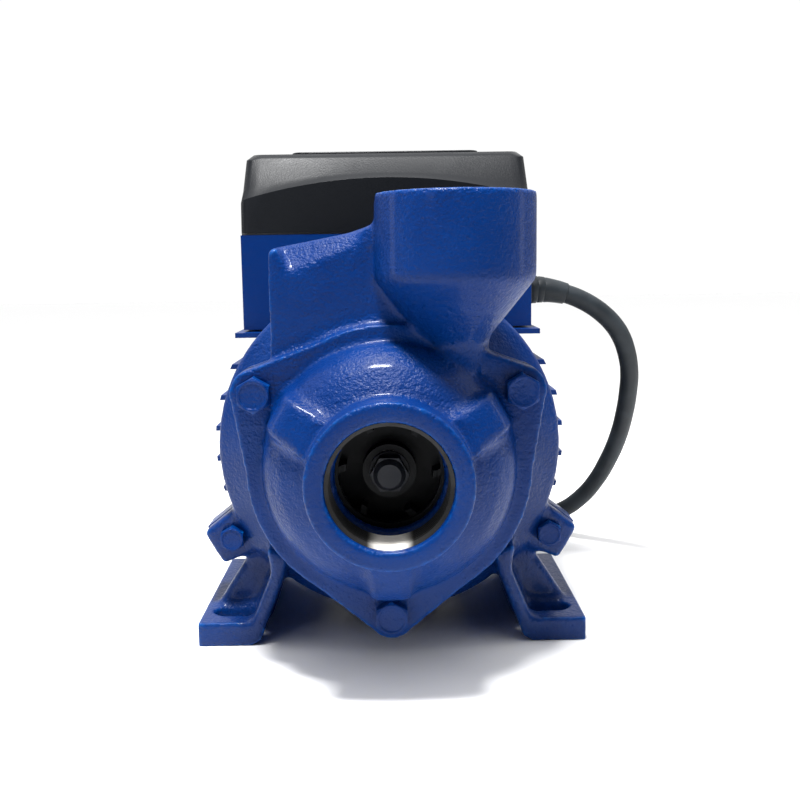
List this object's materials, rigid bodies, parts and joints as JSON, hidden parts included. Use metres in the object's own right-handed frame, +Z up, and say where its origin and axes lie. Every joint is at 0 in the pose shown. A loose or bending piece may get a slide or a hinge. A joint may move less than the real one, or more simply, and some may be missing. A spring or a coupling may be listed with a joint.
{
  "type": "centrifugal water pump",
  "caption": "Close-coupled centrifugal water pump: cast body with threaded front and top ports, footed bracket, finned motor, black terminal cover and corded plug.",
  "frame": {"origin": "on the base plane, midway between the two foot slots, in the plane of the shaft axis", "axes": "+X to the right seen from the suction side, +Y back along the shaft towards the fan, +Z up along the discharge port"},
  "size_m": [0.2187, 0.437, 0.216],
  "materials": {
    "enamel": "thick glossy ultramarine enamel over sand-cast iron",
    "casing_enamel": "glossy ultramarine enamel over die-cast aluminium",
    "gasket_rubber": "matt nitrile",
    "ceramic": "ground alumina face",
    "carbon": "lapped carbon",
    "spring_steel": "bright drawn wire and strip",
    "brass": "turned brass, slightly dulled",
    "machined_steel": "turned stainless steel",
    "lamination_steel": "stacked electrical steel",
    "cast_aluminium": "die cast",
    "bearing_steel": "ground and polished",
    "winding_copper": "varnished copper wire",
    "wire_insulation": "extruded insulation",
    "zinc_steel": "zinc plated",
    "black_plastic": "moulded, finely textured",
    "cover_plastic": "moulded black, satin spark-eroded texture",
    "white_plastic": "moulded",
    "capacitor_can": "smooth can",
    "cord_rubber": "smooth black sheath",
    "tie_plastic": "nylon",
    "nickel": "nickel plated"
  },
  "bodies": {
    "housing": {"pump_body": "enamel", "body_gasket": "gasket_rubber", "body_bolts": "enamel", "motor_bracket": "enamel", "seal_seat": "ceramic", "seal_seat_cup": "gasket_rubber", "front_bearing_outer": "bearing_steel", "rear_bearing_outer": "bearing_steel", "preload_washer": "spring_steel", "bracket_screws": "enamel", "motor_casing": "casing_enamel", "stator_core": "lamination_steel", "stator_winding": "winding_copper", "motor_leads": "wire_insulation", "rear_shield": "casing_enamel", "shield_screws": "zinc_steel", "fan_cover": "black_plastic", "fan_cover_screws": "zinc_steel", "terminal_gasket": "gasket_rubber", "terminal_cover": "cover_plastic", "cover_screws": "zinc_steel", "terminal_block": "white_plastic", "terminal_studs": "brass", "capacitor": "capacitor_can", "capacitor_clip": "zinc_steel", "earth_screw": "brass", "strain_relief": "cord_rubber", "cord_cores": "wire_insulation", "power_cord": "cord_rubber", "cord_coil": "cord_rubber", "cord_tail": "cord_rubber", "cord_tie": "tie_plastic", "plug_body": "cord_rubber", "plug_pins": "nickel"},
    "rotor": {"shaft": "machined_steel", "rotor_core": "lamination_steel", "rotor_end_rings": "cast_aluminium", "impeller": "black_plastic", "impeller_key": "machined_steel", "impeller_nut": "machined_steel", "impeller_washer": "machined_steel", "slinger": "gasket_rubber", "seal_face": "carbon", "seal_bellows": "gasket_rubber", "seal_spring": "spring_steel", "front_bearing_inner": "bearing_steel", "rear_bearing_inner": "bearing_steel", "fan": "black_plastic", "fan_clip": "spring_steel"},
    "front_cage": {"front_bearing_balls": "bearing_steel"},
    "rear_cage": {"rear_bearing_balls": "bearing_steel"}
  },
  "joints": [
    {"name": "rotor_spin", "type": "hinge", "parent": "housing", "child": "rotor", "pos_m": [0, 0, 0.084], "axis": [0, 1, 0], "continuous": true},
    {"name": "front_cage_spin", "type": "hinge", "parent": "housing", "child": "front_cage", "pos_m": [0, 0, 0.084], "axis": [0, 1, 0], "continuous": true},
    {"name": "rear_cage_spin", "type": "hinge", "parent": "housing", "child": "rear_cage", "pos_m": [0, 0, 0.084], "axis": [0, 1, 0], "continuous": true}
  ],
  "couplings": [
    {"joint": "front_cage_spin", "follows": "rotor_spin", "ratio": 0.3818},
    {"joint": "rear_cage_spin", "follows": "rotor_spin", "ratio": 0.38}
  ]
}
